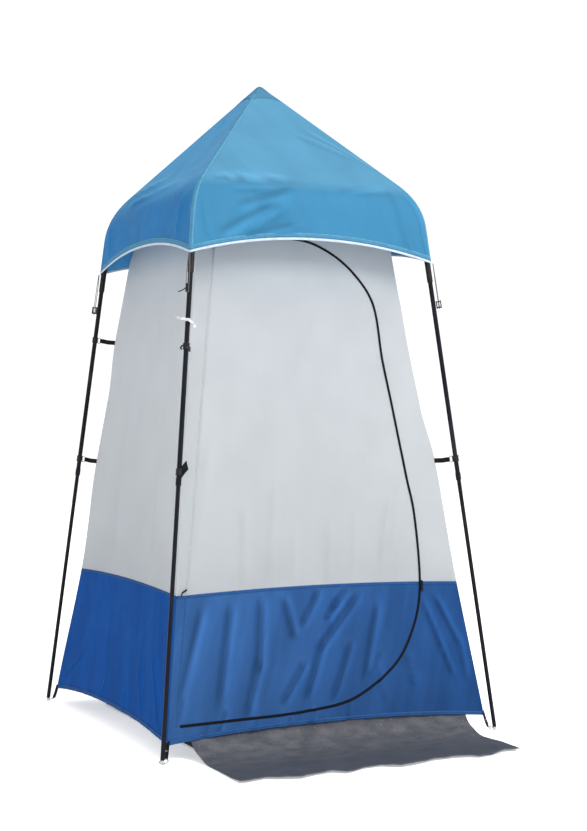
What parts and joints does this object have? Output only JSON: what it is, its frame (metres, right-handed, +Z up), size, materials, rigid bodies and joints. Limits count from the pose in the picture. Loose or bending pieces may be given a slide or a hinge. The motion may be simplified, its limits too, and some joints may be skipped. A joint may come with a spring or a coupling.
{
  "type": "privacy shower tent",
  "caption": "Upright pole-framed privacy tent with a pyramid canopy, zipped D-shaped door, grey and blue cloth walls and a mat at the door.",
  "frame": {"origin": "on the ground under the hub, at the middle of the four legs, on the groundsheet's underside", "axes": "+Z up; the door faces -Y; +X is to the right of someone who looks at the door"},
  "size_m": [1.235, 1.5925, 2.2825],
  "materials": {
    "canopy_cloth": "coated polyester, light blue",
    "grey_cloth": "plain polyester, pale grey",
    "blue_cloth": "coated polyester, royal blue, slightly glossy",
    "mat_cloth": "heavier woven polyester, dark grey",
    "pole": "satin black enamel",
    "plastic": "moulded black",
    "webbing": "woven black tape",
    "steel": "zinc plated",
    "cord": "braided pale grey",
    "tape": "white woven tape"
  },
  "bodies": {
    "root": {"canopy_front": "canopy_cloth", "canopy_right": "canopy_cloth", "canopy_back": "canopy_cloth", "canopy_left": "canopy_cloth", "wall_right_upper": "grey_cloth", "wall_right_lower": "blue_cloth", "wall_back_upper": "grey_cloth", "wall_back_lower": "blue_cloth", "wall_left_upper": "grey_cloth", "wall_left_lower": "blue_cloth", "front_wall_upper": "grey_cloth", "front_wall_lower": "blue_cloth", "lower_leg_front_left": "pole", "upper_leg_front_left": "pole", "shoulder_elbow_front_left": "plastic", "roof_pole_front_left": "pole", "ring_pin_front_left": "steel", "foot_strap_front_left": "webbing", "pole_strap_front_left_low": "webbing", "pole_strap_front_left_high": "webbing", "guy_cord_front_left": "cord", "lower_leg_front_right": "pole", "upper_leg_front_right": "pole", "shoulder_elbow_front_right": "plastic", "roof_pole_front_right": "pole", "ring_pin_front_right": "steel", "foot_strap_front_right": "webbing", "pole_strap_front_right_low": "webbing", "guy_cord_front_right": "cord", "lower_leg_back_right": "pole", "upper_leg_back_right": "pole", "shoulder_elbow_back_right": "plastic", "roof_pole_back_right": "pole", "ring_pin_back_right": "steel", "foot_strap_back_right": "webbing", "pole_strap_back_right_low": "webbing", "pole_strap_back_right_high": "webbing", "guy_cord_back_right": "cord", "lower_leg_back_left": "pole", "upper_leg_back_left": "pole", "shoulder_elbow_back_left": "plastic", "roof_pole_back_left": "pole", "ring_pin_back_left": "steel", "foot_strap_back_left": "webbing", "pole_strap_back_left_low": "webbing", "pole_strap_back_left_high": "webbing", "guy_cord_back_left": "cord", "tie_tape": "tape", "top_hub": "plastic", "groundsheet": "mat_cloth", "door_mat": "mat_cloth"},
    "door": {"door_upper": "grey_cloth", "door_lower": "blue_cloth"},
    "slider": {"zip_slider": "steel"},
    "puller": {"zip_puller": "steel"},
    "hook": {"shower_hook": "steel"},
    "tensioner_front_left": {"guy_tensioner_front_left": "plastic"},
    "tensioner_front_right": {"guy_tensioner_front_right": "plastic"},
    "tensioner_back_right": {"guy_tensioner_back_right": "plastic"},
    "tensioner_back_left": {"guy_tensioner_back_left": "plastic"}
  },
  "joints": [
    {"name": "door_swing", "type": "hinge", "parent": "root", "child": "door", "pos_m": [-0.54907, -0.57607, 0.106], "axis": [-0.1417, -0.1417, -0.9797], "range_deg": [0, 100]},
    {"name": "zip_travel", "type": "slide", "parent": "root", "child": "slider", "axis": [0, 0.1431, 0.9897], "range_m": [-0.055, 0.235]},
    {"name": "puller_flip", "type": "hinge", "parent": "slider", "child": "puller", "pos_m": [0.3712, -0.52305, 0.5118], "axis": [-1, 0, 0], "range_deg": [0, 150]},
    {"name": "hook_swing", "type": "hinge", "parent": "root", "child": "hook", "pos_m": [0, 0, 2.211], "axis": [1, 0, 0], "range_deg": [-45, 45]},
    {"name": "tensioner_front_left_slide", "type": "slide", "parent": "root", "child": "tensioner_front_left", "axis": [0.1029, 0.1029, 0.9894], "range_m": [0, 0.035]},
    {"name": "tensioner_front_right_slide", "type": "slide", "parent": "root", "child": "tensioner_front_right", "axis": [-0.1029, 0.1029, 0.9894], "range_m": [0, 0.035]},
    {"name": "tensioner_back_right_slide", "type": "slide", "parent": "root", "child": "tensioner_back_right", "axis": [-0.1029, -0.1029, 0.9894], "range_m": [0, 0.035]},
    {"name": "tensioner_back_left_slide", "type": "slide", "parent": "root", "child": "tensioner_back_left", "axis": [0.1029, -0.1029, 0.9894], "range_m": [0, 0.035]}
  ]
}
